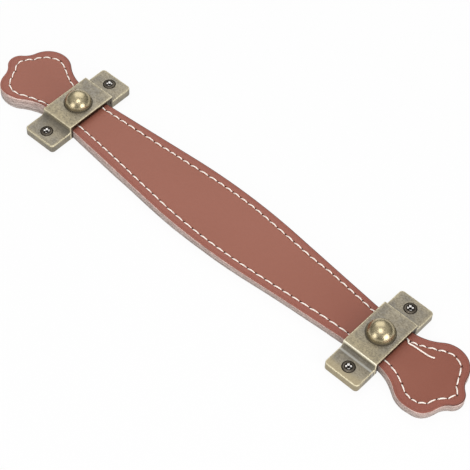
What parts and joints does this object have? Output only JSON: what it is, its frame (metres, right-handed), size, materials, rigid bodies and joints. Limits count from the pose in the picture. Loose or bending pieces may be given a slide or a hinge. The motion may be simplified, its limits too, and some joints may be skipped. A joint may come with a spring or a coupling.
{
  "type": "faux leather strap pull",
  "caption": "Sewn faux leather strap pull with ogee ends, held under cast antique brass clamps with domed bosses and cross-head screws.",
  "frame": {"origin": "midway between the clamps, on the surface that the pull is screwed to", "axes": "+X along the strap to the right end, +Y across it to the far side, +Z away from the mounting surface"},
  "size_m": [0.25, 0.0472, 0.0204],
  "materials": {
    "brown_faux_leather": "smooth satin coated faux leather",
    "grey_backing": "raw fibrous backing with cut edges",
    "ivory_thread": "waxed sewing thread",
    "antique_brass": "brushed and aged, worn bright on the edges and the boss",
    "dark_screw": "dark bronze plating"
  },
  "bodies": {
    "root": {"strap_face": "brown_faux_leather", "strap_back": "grey_backing", "needle_thread": "ivory_thread", "bobbin_thread": "ivory_thread", "bracket_left": "antique_brass", "bracket_right": "antique_brass", "screw_left_near": "dark_screw", "screw_left_far": "dark_screw", "screw_right_near": "dark_screw", "screw_right_far": "dark_screw"}
  },
  "joints": []
}
